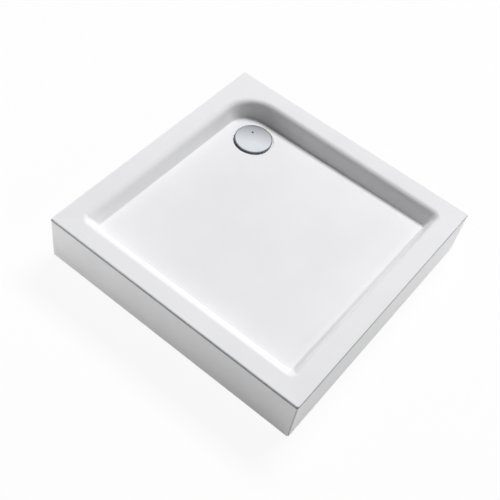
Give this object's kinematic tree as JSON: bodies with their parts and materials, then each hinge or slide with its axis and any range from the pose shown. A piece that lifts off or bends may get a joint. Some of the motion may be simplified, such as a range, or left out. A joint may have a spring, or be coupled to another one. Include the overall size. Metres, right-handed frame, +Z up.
{
  "type": "shower tray",
  "caption": "Square low shower tray with a corner drain, two clip-on apron panels, a lift-out drain trap and screw-adjusted feet.",
  "frame": {"origin": "centre of the square footprint on the floor, under the feet", "axes": "+Z up, -Y towards the front panel, +X towards the side panel; the left (-X) and back (+Y) edges stand against walls"},
  "size_m": [0.8, 0.8, 0.155],
  "materials": {
    "white_acrylic": "gloss",
    "panel_acrylic": "gloss",
    "glass_fibre": "rough",
    "rigid_foam": "matte",
    "particle_board": "raw",
    "zinc_steel": "zinc plated",
    "foot_plastic": "matte",
    "trap_plastic": "satin",
    "grey_plastic": "satin",
    "clip_plastic": "satin",
    "seal_rubber": "matte",
    "tape_foam": "matte",
    "chrome_plate": "polished"
  },
  "bodies": {
    "tray": {"tray_shell": "white_acrylic", "glass_fibre_backing": "glass_fibre", "foam_bed": "rigid_foam", "base_board": "particle_board", "leg_rail_left": "zinc_steel", "leg_rail_right": "zinc_steel", "leg_rail_short": "zinc_steel", "rail_screws": "zinc_steel", "weld_nuts": "zinc_steel", "lock_nuts": "zinc_steel", "front_foam_tape": "tape_foam", "side_foam_tape": "tape_foam", "front_panel_brackets": "zinc_steel", "side_panel_brackets": "zinc_steel", "bracket_screws": "zinc_steel", "trap_head": "trap_plastic", "trap_weir": "trap_plastic", "trap_pot": "trap_plastic", "lower_gasket": "seal_rubber", "upper_seal": "seal_rubber", "clamping_collar": "chrome_plate", "union_nut": "grey_plastic", "outlet_seal": "seal_rubber"},
    "front_apron": {"front_panel": "panel_acrylic", "corner_strip": "clip_plastic", "front_panel_clips": "clip_plastic"},
    "side_apron": {"side_panel": "panel_acrylic", "side_panel_clips": "clip_plastic"},
    "siphon": {"dip_tube": "grey_plastic", "dip_tube_seal": "seal_rubber"},
    "cover": {"drain_cover": "chrome_plate", "cover_carrier": "grey_plastic"},
    "outlet": {"outlet_pipe": "trap_plastic"},
    "pad_left_front": {"foot_pad_left_front": "foot_plastic"},
    "pad_left_back": {"foot_pad_left_back": "foot_plastic"},
    "pad_right_front": {"foot_pad_right_front": "foot_plastic"},
    "pad_right_back": {"foot_pad_right_back": "foot_plastic"},
    "pad_side": {"foot_pad_side": "foot_plastic"},
    "rod_left_front": {"threaded_rod_left_front": "zinc_steel"},
    "rod_left_back": {"threaded_rod_left_back": "zinc_steel"},
    "rod_right_front": {"threaded_rod_right_front": "zinc_steel"},
    "rod_right_back": {"threaded_rod_right_back": "zinc_steel"},
    "rod_side": {"threaded_rod_side": "zinc_steel"}
  },
  "joints": [
    {"name": "front_panel_pull", "type": "slide", "parent": "tray", "child": "front_apron", "axis": [0, -1, 0], "range_m": [0, 0.06]},
    {"name": "side_panel_pull", "type": "slide", "parent": "tray", "child": "side_apron", "axis": [1, 0, 0], "range_m": [0, 0.06]},
    {"name": "dip_tube_lift", "type": "slide", "parent": "tray", "child": "siphon", "axis": [0, 0, 1], "range_m": [0, 0.1]},
    {"name": "drain_cover_lift", "type": "slide", "parent": "siphon", "child": "cover", "axis": [0, 0, 1], "range_m": [0, 0.05]},
    {"name": "outlet_swivel", "type": "hinge", "parent": "tray", "child": "outlet", "pos_m": [-0.312, 0.235, 0.038], "axis": [0, 0, 1], "range_deg": [-8, 8]},
    {"name": "foot_left_front_height", "type": "slide", "parent": "tray", "child": "pad_left_front", "axis": [0, 0, 1], "range_m": [-0.008, 0.011]},
    {"name": "foot_left_back_height", "type": "slide", "parent": "tray", "child": "pad_left_back", "axis": [0, 0, 1], "range_m": [-0.008, 0.011]},
    {"name": "foot_right_front_height", "type": "slide", "parent": "tray", "child": "pad_right_front", "axis": [0, 0, 1], "range_m": [-0.008, 0.011]},
    {"name": "foot_right_back_height", "type": "slide", "parent": "tray", "child": "pad_right_back", "axis": [0, 0, 1], "range_m": [-0.008, 0.011]},
    {"name": "foot_side_height", "type": "slide", "parent": "tray", "child": "pad_side", "axis": [0, 0, 1], "range_m": [-0.008, 0.011]},
    {"name": "rod_left_front_turn", "type": "hinge", "parent": "pad_left_front", "child": "rod_left_front", "pos_m": [-0.095, -0.24, 0.03], "axis": [0, 0, 1], "range_deg": [-1925, 2645]},
    {"name": "rod_left_back_turn", "type": "hinge", "parent": "pad_left_back", "child": "rod_left_back", "pos_m": [-0.095, 0.24, 0.03], "axis": [0, 0, 1], "range_deg": [-1925, 2645]},
    {"name": "rod_right_front_turn", "type": "hinge", "parent": "pad_right_front", "child": "rod_right_front", "pos_m": [0.2, -0.24, 0.03], "axis": [0, 0, 1], "range_deg": [-1925, 2645]},
    {"name": "rod_right_back_turn", "type": "hinge", "parent": "pad_right_back", "child": "rod_right_back", "pos_m": [0.2, 0.24, 0.03], "axis": [0, 0, 1], "range_deg": [-1925, 2645]},
    {"name": "rod_side_turn", "type": "hinge", "parent": "pad_side", "child": "rod_side", "pos_m": [-0.255, 0, 0.03], "axis": [0, 0, 1], "range_deg": [-1925, 2645]}
  ],
  "couplings": [
    {"joint": "rod_left_front_turn", "follows": "foot_left_front_height", "rad_per_m": 4188.8},
    {"joint": "rod_left_back_turn", "follows": "foot_left_back_height", "rad_per_m": 4188.8},
    {"joint": "rod_right_front_turn", "follows": "foot_right_front_height", "rad_per_m": 4188.8},
    {"joint": "rod_right_back_turn", "follows": "foot_right_back_height", "rad_per_m": 4188.8},
    {"joint": "rod_side_turn", "follows": "foot_side_height", "rad_per_m": 4188.8}
  ]
}
